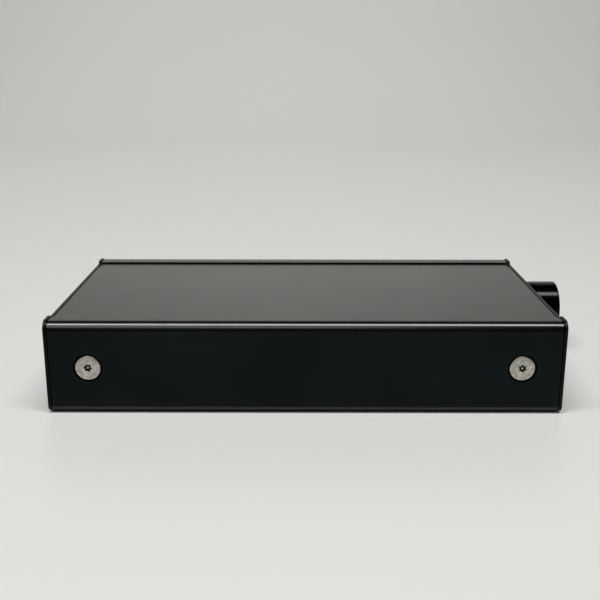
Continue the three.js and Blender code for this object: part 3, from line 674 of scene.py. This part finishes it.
def side_screw(corner):
    """Large flat head with a rounded rim and a small star drive with a centre post."""
    node = f"side_screw_{corner}"
    low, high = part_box(node)
    outward = 1 if corner.endswith("far") else -1
    face = high.y if outward > 0 else low.y
    radius, length = (high.x - low.x) / 2, high.y - low.y
    head, rim, shank, lead = 1.55 * MM, 0.35 * MM, 2 * MM, 0.4 * MM
    profile = [(-length, 0), (-length, shank - lead), (-length + lead, shank)]
    profile += [(-head, shank), (-head, radius)]
    profile += arc(-rim, radius - rim, rim, 90, 0, 5)
    profile += [(0.0, radius * 0.5), (0.0, 0)]
    middle = middle_of(node)
    centre = (middle.x, face, middle.z)
    screw = lathe(node + "_turned", facing(profile, outward), "Y", centre, 96)
    depth, lobes, ripple = 0.8 * MM, 1.1 * MM, 0.2 * MM
    socket = extrude("socket", lobed_outline(lobes, ripple), "Y", -depth, depth)
    socket.rotation_euler.y = math.radians(SOCKET_TURN[corner])
    socket.location = centre
    carve(screw, socket)
    finish_edges(screw, sharp=24)
    # The socket's faces take the near-black material: painted shade.
    close = 0.01 * MM
    for polygon in screw.data.polygons:
        at = polygon.center
        if math.hypot(at.x, at.z) < lobes + ripple + 2 * close and close < abs(at.y) < depth + close:
            polygon.material_index = 1
    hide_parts(node)
    place(screw, CASING, "screw_steel", MATERIALS["screw_steel"], SOCKET_PAINTED_SHADE)
    thick, top, bevel = 0.42 * MM, 0.22 * MM, 0.08 * MM
    profile = [(-depth, 0), (-depth, thick), (-top - bevel, thick), (-top, thick - bevel), (-top, 0)]
    post = lathe(node + "_post", facing(profile, outward), "Y", centre, 24)
    finish_edges(post, sharp=30)
    place(post, CASING, "screw_steel")


def panel_screw(end, side, level):
    """Countersunk screw with a hexagon socket, each turned a little differently."""
    node = f"panel_screw_{end}_{side}_{level}"
    low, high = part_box(node)
    outward = 1 if end == "front" else -1
    wide, narrow, depth, length = 2.7 * MM, 1.45 * MM, 1.2 * MM, high.x - low.x
    profile = [(-length, 0), (-length, narrow - 0.3 * MM), (-length + 0.4 * MM, narrow), (-depth, narrow)]
    profile += [(-0.12 * MM, wide), (-0.03 * MM, wide - 0.02 * MM), (0, wide - 0.1 * MM), (0, 0)]
    face = high.x if outward > 0 else low.x
    centre = Vector((face, (low.y + high.y) / 2, (low.z + high.z) / 2))
    screw = lathe(node + "_turned", facing(profile, outward), "X", centre, 64)
    turn = 17 * (("far", "near").index(side) + 2 * ("lower", "upper").index(level))
    deep = 0.95 * MM
    socket = extrude("socket", arc(0, 0, 1.0 * MM, turn, turn + 300, 5), "X", -deep, deep)
    socket.location = centre
    carve(screw, socket)
    finish_edges(screw, sharp=24)
    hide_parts(node)
    place(screw, CASING, "black_steel")


def foot(corner):
    """Moulded rubber foot with a shallow dished sole."""
    node = f"foot_{corner}"
    low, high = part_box(node)
    radius, edge, bevel, dish = (high.x - low.x) / 2, 0.5 * MM, 0.15 * MM, 0.12 * MM
    profile = [(high.z, 0), (high.z, radius - bevel), (high.z - bevel, radius)]
    profile += arc(low.z + edge, radius - edge, edge, 90, 180, 6)
    profile += [(low.z, radius * 0.62), (low.z + dish, radius * 0.55), (low.z + dish, 0)]
    centre = middle_of(node)
    pad = lathe(node + "_pad", profile, "Z", (centre.x, centre.y, 0), 64)
    finish_edges(pad, sharp=30)
    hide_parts(node)
    place(pad, CASING, "foot_rubber")


# ---------------------------------------------------------------- front controls

def volume_knob():
    """Turned knob: straight side, rounded face edge, a shallow dished face with a pointer groove."""
    node = "volume_knob"
    low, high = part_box(node)
    centre = middle_of(node)
    back, face, radius = low.x, high.x, (high.y - low.y) / 2
    edge, bevel, skirt, recess, bore = 0.7 * MM, 0.25 * MM, 7.2 * MM, 4.2 * MM, 3.05 * MM
    profile = [(back, skirt), (back, radius - bevel), (back + bevel, radius)]
    profile += arc(face - edge, radius - edge, edge, 90, 0, 6)
    profile += [(face, radius - 1.4 * MM), (face - 0.25 * MM, radius - 1.7 * MM), (face - 0.35 * MM, 0)]
    profile += [(face - 1.5 * MM, 0), (face - 1.5 * MM, bore), (back + recess, bore), (back + recess, skirt)]
    knob = lathe(node + "_turned", profile, "X", (0, centre.y, centre.z), 128)
    pointer_at, wide, tall = radius - 3.4 * MM, 0.9 * MM, 4.2 * MM
    groove = extrude("groove", rounded_rect(0, pointer_at, wide, tall, 0.4 * MM),
                     "X", face - 0.75 * MM, face + OVERSHOOT)
    groove.location = (0, centre.y, centre.z)
    grub = middle_of("volume_grub_screw")
    grub_hole = rod("hole", "Z", (grub.x, grub.y, centre.z), -12 * MM, -2.5 * MM, 1.55 * MM, 40)
    carve(knob, groove, grub_hole)
    finish_edges(knob, sharp=24)
    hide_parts(node)
    place(knob, "volume_control", "knob_black")
    slack = 0.06 * MM
    inlay = extrude("volume_pointer_inlay",
                    rounded_rect(0, pointer_at, wide - slack, tall - slack, 0.38 * MM),
                    "X", face - 0.74 * MM, face - 0.42 * MM)
    inlay.location = (0, centre.y, centre.z)
    finish_edges(inlay, sharp=30)
    place(inlay, "volume_control", "knob_black", MARK_WHITE)


def knurled_ring(name, node, bore, notches):
    """Ring nut with fine notches round its rim and a flared mouth."""
    low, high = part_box(node)
    radius = (high.y - low.y) / 2
    centre = middle_of(node)
    points = []
    for i in range(notches):
        start = 360 * i / notches
        points += arc(0, 0, radius, start, start + 200 / notches, 2)
        points += arc(0, 0, radius - 0.25 * MM, start + 230 / notches, start + 330 / notches, 1)
    ring = extrude(name, points, "X", low.x, high.x)
    ring.location = (0, centre.y, centre.z)
    flare, back, front = 0.3 * MM, low.x - OVERSHOOT, high.x + OVERSHOOT
    profile = [(back, 0), (back, bore), (high.x - flare, bore)]
    profile += [(front, bore + flare + OVERSHOOT), (front, 0)]
    carve(ring, lathe("hole", profile, "X", (0, centre.y, centre.z), 64))
    finish_edges(ring, bevel=0.1 * MM, sharp=40)
    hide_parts(node)
    place(ring, CASING, "nut_nickel")


def headphone_socket():
    """Threaded barrel with a funnelled mouth, on the moulded housing behind the panel."""
    node = "headphone_jack"
    low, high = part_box(node)
    nut = middle_of("headphone_nut")
    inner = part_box("front_panel")[1].x - PANEL_THICK - SEAM
    bore, barrel, pitch, thread_depth = 3.25 * MM, 4.5 * MM, 0.5 * MM, 0.13 * MM
    width, height = high.y - low.y, high.z - low.z
    body = extrude(node + "_moulding",
                   rounded_rect(nut.y, (low.z + high.z) / 2, width, height, 0.5 * MM, 3), "X", low.x, inner)
    x = inner - OVERSHOOT
    profile = [(x, 0)]
    root = barrel - thread_depth
    while x + pitch < high.x - 0.3 * MM:
        profile += [(x, barrel), (x + 0.35 * pitch, barrel)]
        profile += [(x + 0.6 * pitch, root), (x + 0.75 * pitch, root)]
        x += pitch
    profile += [(high.x - 0.25 * MM, barrel), (high.x, barrel - 0.25 * MM), (high.x, 0)]
    weld(body, lathe("thread", profile, "X", (0, nut.y, nut.z), 64))
    mouth, start, front = bore + 0.5 * MM, low.x + 2 * MM, high.x + OVERSHOOT
    profile = [(start, 0), (start, bore), (high.x - 0.4 * MM, bore), (high.x + 0.1 * MM, mouth)]
    profile += [(front, mouth), (front, 0)]
    carve(body, lathe("bore", profile, "X", (0, nut.y, nut.z), 64))
    finish_edges(body, sharp=30)
    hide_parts(node)
    place(body, CASING, "black_plastic")


def push_button(name):
    """Cap with a softly dished top and rounded rim; collar and stem behind the panel."""
    node = f"{name}_button"
    low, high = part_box(node)
    centre = middle_of(node)
    head, collar, stem, rim, bevel = 2.25 * MM, 3.1 * MM, 1.5 * MM, 0.3 * MM, 0.2 * MM
    collar_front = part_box("front_panel")[1].x - PANEL_THICK - 0.6 * MM
    collar_back = collar_front - 1.1 * MM
    profile = [(low.x, 0), (low.x, stem - bevel), (low.x + bevel, stem)]
    profile += [(collar_back, stem), (collar_back, collar), (collar_front, collar), (collar_front, head)]
    profile += arc(high.x - rim, head - rim, rim, 90, 0, 5)
    profile += [(high.x - 0.05 * MM, head * 0.7), (high.x - 0.18 * MM, head * 0.45), (high.x - 0.25 * MM, 0)]
    cap = lathe(node + "_turned", profile, "X", (0, centre.y, centre.z), 64)
    finish_edges(cap, sharp=30)
    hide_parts(node)
    place(cap, f"{name}_key", "button_black")


def display():
    """Smoked window flush in the panel."""
    low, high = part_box("display_window")
    centre = (low + high) / 2
    outline = rounded_rect(centre.y, centre.z, high.y - low.y, high.z - low.z, 1 * MM)
    window = extrude("display_window_lens", outline, "X", low.x, high.x)
    finish_edges(window, bevel=0.12 * MM, sharp=40)
    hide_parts("display_window")
    place(window, CASING, "smoked_window")


def status_light():
    """Light pipe with a domed end."""
    low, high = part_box("status_light")
    centre = (low + high) / 2
    radius, dome = 1.5 * MM, 0.45 * MM
    profile = [(low.x, 0), (low.x, radius), (high.x - dome, radius)]
    profile += [(high.x - dome + dome * math.sin(a), radius * math.cos(a))
                for a in (math.radians(15 * i) for i in range(1, 6))]
    profile.append((high.x, 0))
    pipe = lathe("status_light_pipe", profile, "X", (0, centre.y, centre.z), 48)
    finish_edges(pipe, sharp=30)
    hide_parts("status_light")
    place(pipe, CASING, "light_pipe")


# ---------------------------------------------------------------- rear sockets and switch

def rca_socket(side, core_material):
    """Nickel barrel around a coloured core with a sprung centre contact; moulded housing inside."""
    node = f"rca_jack_{side}"
    low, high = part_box(node)
    y, tip = (low.y + high.y) / 2, low.x
    axis = (0, y, MID_Z)
    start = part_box("rear_panel")[0].x + PANEL_THICK + SEAM
    outline = rounded_rect(y, (low.z + high.z) / 2, high.y - low.y, high.z - low.z, 0.5 * MM, 3)
    housing = extrude(node + "_housing", outline, "X", start, high.x)
    hole = 1.6 * MM
    carve(housing, rod("hole", "X", axis, start - OVERSHOOT, high.x - 4.5 * MM, hole, 40))
    finish_edges(housing, sharp=30)
    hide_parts(node)
    place(housing, CASING, "black_plastic")
    outer, inner = 4.15 * MM, 3.7 * MM
    profile = [(start, inner), (start, outer), (tip + 0.3 * MM, outer), (tip + 0.08 * MM, outer - 0.1 * MM)]
    profile += [(tip, outer - 0.22 * MM), (tip + 0.05 * MM, inner + 0.06 * MM), (tip + 0.2 * MM, inner)]
    barrel = lathe(node + "_barrel", profile, "X", axis, 96)
    finish_edges(barrel, sharp=30)
    place(barrel, CASING, "socket_nickel")
    front = tip + 0.45 * MM
    profile = [(start, hole), (start, inner), (front + 0.12 * MM, inner), (front, inner - 0.15 * MM)]
    profile += [(front, hole + 0.4 * MM), (front + 0.35 * MM, hole)]
    core = lathe(node + "_core", profile, "X", axis, 64)
    finish_edges(core, sharp=30)
    place(core, CASING, "socket_nickel", core_material)
    inside, outside, end = 1.2 * MM, 1.5 * MM, front + 0.9 * MM
    profile = [(start, inside), (start, outside), (end, outside), (end, inside)]
    contact = lathe(node + "_contact", profile, "X", axis, 40)
    finish_edges(contact, sharp=30)
    place(contact, CASING, "socket_nickel", GOLD)


def ethernet_socket():
    """Tinned shield around a dark moulding with eight gold contacts and two lamps."""
    node = "ethernet_jack"
    low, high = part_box(node)
    centre = (low + high) / 2
    wall, slack, face = 0.3 * MM, 0.02 * MM, low.x + 0.25 * MM
    width, height = high.y - low.y, high.z - low.z

    def box_outline(inset, radius):
        return rounded_rect(centre.y, centre.z, width - 2 * inset, height - 2 * inset, radius, 2)

    shield = extrude(node + "_shield", box_outline(0, 0.3 * MM), "X", low.x, high.x)
    carve(shield, extrude("hollow", box_outline(wall, 0.1 * MM), "X", low.x - OVERSHOOT, high.x - wall))
    finish_edges(shield, bevel=0.06 * MM, sharp=40)
    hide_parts(node)
    place(shield, CASING, "tinned_steel")
    moulding = extrude(node + "_moulding", box_outline(wall + slack, 0.1 * MM),
                       "X", face, high.x - wall - slack)
    mouth = [(-5.9, 2.2), (5.9, 2.2), (5.9, 10.2), (3, 10.2)]
    mouth += [(3, 11.8), (-3, 11.8), (-3, 10.2), (-5.9, 10.2)]
    mouth = [(centre.y + y * MM, low.z + z * MM) for y, z in mouth]
    tools = [extrude("hollow", mouth, "X", face - OVERSHOOT, low.x + 12 * MM)]
    lamps = [("amber", -1, LAMP_AMBER), ("green", 1, LAMP_GREEN)]
    lamp_z, lamp_width, lamp_height, lamp_gap = low.z + 11.75 * MM, 2.9 * MM, 1.5 * MM, 0.1 * MM

    def lamp_outline(sign, gap):
        y = centre.y + sign * 5.4 * MM
        return rounded_rect(y, lamp_z, lamp_width + gap, lamp_height + gap, 0.2 * MM, 2)

    for _, sign, _ in lamps:
        tools.append(extrude("hollow", lamp_outline(sign, lamp_gap), "X", face - OVERSHOOT, face + 3 * MM))
    carve(moulding, *tools)
    finish_edges(moulding, bevel=0.05 * MM, sharp=40)
    place(moulding, CASING, "tinned_steel", MATERIALS["black_plastic"])
    for color, sign, material in lamps:
        lamp = extrude(f"{node}_lamp_{color}", lamp_outline(sign, 0), "X", face + 0.1 * MM, face + 2.9 * MM)
        finish_edges(lamp, bevel=0.08 * MM, sharp=40)
        place(lamp, CASING, "tinned_steel", material)
    contacts, pitch, thick, strip = 8, 1.02 * MM, 0.4 * MM, 0.35 * MM
    x0, x1 = low.x + 3 * MM, low.x + 11.8 * MM
    z0 = low.z + 2.35 * MM
    z1 = z0 + 3.6 * MM
    spring = [(x0, z0), (x1, z1), (x1, z1 + strip), (x0, z0 + strip)]
    for i in range(contacts):
        y = centre.y + (i - (contacts - 1) / 2) * pitch
        wire = extrude(f"{node}_contact_{i + 1}", spring, "Y", y - thick / 2, y + thick / 2)
        finish_edges(wire, bevel=0.05 * MM, sharp=30)
        place(wire, CASING, "tinned_steel", GOLD)


def usb_socket():
    """Drawn steel shell around a tongue with contact pads on both sides."""
    node = "usb_c_socket"
    low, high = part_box(node)
    centre = (low + high) / 2
    width, height, wall, back = high.y - low.y, high.z - low.z, 0.3 * MM, 1 * MM
    radius = height / 2 - 0.03 * MM
    outer = rounded_rect(centre.y, centre.z, width, height, radius, 8)
    inner = rounded_rect(centre.y, centre.z, width - 2 * wall, height - 2 * wall, radius - wall, 8)
    shell = extrude(node + "_shell", outer, "X", low.x, high.x)
    carve(shell, extrude("hollow", inner, "X", low.x - OVERSHOOT, high.x - back))
    finish_edges(shell, bevel=0.09 * MM, segments=3, sharp=40)
    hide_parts(node)
    place(shell, CASING, "tinned_steel")
    tongue = extrude(node + "_tongue", rounded_rect(centre.y, centre.z, 6.6 * MM, 0.7 * MM, 0.3 * MM, 4),
                     "X", low.x + 0.8 * MM, high.x - back - 0.02 * MM)
    finish_edges(tongue, bevel=0.08 * MM, sharp=40)
    place(tongue, CASING, "tinned_steel", MATERIALS["black_plastic"])
    pads, pitch, offset = 8, 0.7 * MM, 0.37 * MM
    for i in range(pads):
        y = centre.y + (i - (pads - 1) / 2) * pitch
        for level, sign in (("top", 1), ("under", -1)):
            outline = rounded_rect(y, centre.z + sign * offset, 0.35 * MM, 0.06 * MM, 0.02 * MM, 2)
            pad = extrude(f"{node}_pad_{level}_{i + 1}", outline, "X", low.x + 1.5 * MM, low.x + 4.5 * MM)
            place(pad, CASING, "tinned_steel", GOLD)


def power_switch():
    """Bezel with a rounded rim, on a body with a pocket for the rocker and a hole for its pins."""
    node = "power_switch_body"
    low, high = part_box(node)
    centre = (low + high) / 2
    panel_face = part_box("rear_panel")[0].x
    outline = rounded_rect(centre.y, centre.z, high.y - low.y, high.z - low.z, 1 * MM)
    bezel = extrude(node + "_moulding", outline, "X", low.x, panel_face - 0.05 * MM)
    body = extrude("body", rounded_rect(centre.y, centre.z, 8.6 * MM, 13.4 * MM, 0.3 * MM, 2),
                   "X", panel_face - 0.2 * MM, high.x)
    weld(bezel, body)
    pivot = joint_place("power_rock")
    pocket = extrude("pocket", rounded_rect(centre.y, centre.z, 6.8 * MM, 12.4 * MM, 0.2 * MM, 2),
                     "X", low.x - OVERSHOOT, pivot.x + 3.2 * MM)
    reach = 3.9 * MM
    carve(bezel, pocket, rod("hole", "Y", (pivot.x, centre.y, centre.z), -reach, reach, 0.9 * MM, 32))
    finish_edges(bezel, bevel=0.2 * MM, segments=3, sharp=40)
    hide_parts(node)
    place(bezel, CASING, "black_plastic")


def power_rocker():
    """Paddle with a hollowed face, a bar and a ring cut into it, and pins to rock on."""
    node = "power_rocker"
    pivot = joint_place("power_rock")
    low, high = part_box(node)
    pivot.y = (low.y + high.y) / 2
    half, wide, pins = 5.55 * MM, 3.1 * MM, 3.8 * MM
    face, rise, steps = 1.6 * MM, 0.55 * MM, 12
    crest = []
    for i in range(steps + 1):
        s = 1 - 2 * i / steps
        crest.append((-(face + rise * s * s), s * half))
    shoulder = 3.4 * MM
    keel = [(-0.2 * MM, -half), (1.6 * MM, -shoulder), (2.4 * MM, 0)]
    keel += [(1.6 * MM, shoulder), (-0.2 * MM, half)]
    outline = crest + keel
    rocker = extrude(node + "_paddle", outline, "Y", -wide, wide)
    weld(rocker, rod("pins", "Y", (0, 0, 0), -pins, pins, 0.8 * MM, 32))
    mark_at, above, bottom = 3.3 * MM, -2.2 * MM, -1.68 * MM
    bar = extrude("bar", rounded_rect(0, mark_at, 0.35 * MM, 1.6 * MM, 0.15 * MM, 3), "X", above, bottom)
    inside, outside = 0.55 * MM, 0.9 * MM
    profile = [(above, inside), (above, outside), (bottom, outside), (bottom, inside)]
    ring = lathe("ring", profile, "X", (0, 0, -mark_at), 32)
    carve(rocker, bar, ring)
    finish_edges(rocker, bevel=0.15 * MM, sharp=40)
    rocker.location = pivot
    rocker.rotation_euler.y = math.radians(7)
    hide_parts(node)
    place(rocker, "rocker", "black_plastic")


# ---------------------------------------------------------------- pieces that keep their CAD shape

def dress_cad_nodes():
    """Gives every CAD node that is still shown its slot's material."""
    slots = {part["node"]: part["material_slot"] for part in frame["record"]["subparts"]}
    for name, piece in frame["nodes"].items():
        if piece.hide_render:
            continue
        piece.data.materials.clear()
        piece.data.materials.append(MATERIALS[slots[name]])


# ---------------------------------------------------------------- stage

def floor_material():
    nodes = Nodes("floor", FLOOR_COLOR, roughness=0.35)
    nodes.shader.inputs["Specular IOR Level"].default_value = 0.4
    cloud = nodes.noise(0.4, detail=2)
    nodes.set_color(nodes.mix(cloud, (0.79, 0.79, 0.765), (0.81, 0.81, 0.785)))
    return nodes.material


def add_stage():
    """A pale sheet that lies flat under the player and curves up behind it."""
    bm = bmesh.new()
    path = [(TABLE_EDGE, 0.0), *arc(WALL_AT, SWEEP_RADIUS, SWEEP_RADIUS, -90, 0, 15)]
    path.append((WALL_AT + SWEEP_RADIUS, WALL_RISE))
    rows = [[bm.verts.new((x, y, z)) for x in (-FLOOR_REACH, FLOOR_REACH)] for y, z in path]
    for a, b in zip(rows, rows[1:]):
        bm.faces.new((a[0], a[1], b[1], b[0]))
    floor = mesh_object("floor", bm)
    floor.data.shade_smooth()
    floor.data.materials.append(floor_material())


def add_world():
    """A dim room, seen as a plain pale backdrop past the end of the floor."""
    world = bpy.data.worlds.new("studio")
    bpy.context.scene.world = world
    world.use_nodes = True
    tree = world.node_tree
    room = tree.nodes["Background"]
    room.inputs["Color"].default_value = (*ROOM_COLOR, 1)
    backdrop = tree.nodes.new("ShaderNodeBackground")
    backdrop.inputs["Color"].default_value = (*BACKDROP_COLOR, 1)
    seen = tree.nodes.new("ShaderNodeLightPath")
    choose = tree.nodes.new("ShaderNodeMixShader")
    tree.links.new(seen.outputs["Is Camera Ray"], choose.inputs["Fac"])
    tree.links.new(room.outputs["Background"], choose.inputs[1])
    tree.links.new(backdrop.outputs["Background"], choose.inputs[2])
    tree.links.new(choose.outputs["Shader"], tree.nodes["World Output"].inputs["Surface"])


def add_lights():
    add_world()
    add_area_light("overhead", (-0.05, -0.4, 1.7), (-0.05, -0.4, 0), (1.9, 0.46), 29.8, WHITE_LIGHT)
    add_area_light("backdrop wash", (-0.06, 0.62, 0.8), (-0.06, 1.3, 0.5), (0.66, 0.25), 1.4, WHITE_LIGHT)
    add_area_light("fill", (-0.28, -1.15, 1.25), (-0.1, 0, 0), (1.05, 0.78), 3.3, GREENISH_LIGHT)


# ---------------------------------------------------------------- build

add_camera()
add_stage()
add_lights()
side_rail("near", -1)
side_rail("far", 1)
flat_plate("top_plate")
flat_plate("bottom_plate")
board_posts()
front_panel()
rear_panel()
for corner in CORNERS:
    side_screw(corner)
    foot(corner)
    for level in ("lower", "upper"):
        panel_screw(*corner.split("_"), level)
volume_knob()
knurled_ring("headphone_nut_ring", "headphone_nut", 4.6 * MM, 40)
headphone_socket()
for name in KEYS:
    push_button(name)
display()
status_light()
rca_socket("left", CORE_WHITE)
rca_socket("right", CORE_RED)
ethernet_socket()
usb_socket()
power_switch()
power_rocker()
dress_cad_nodes()

bpy.context.scene.view_settings.view_transform = "Standard"
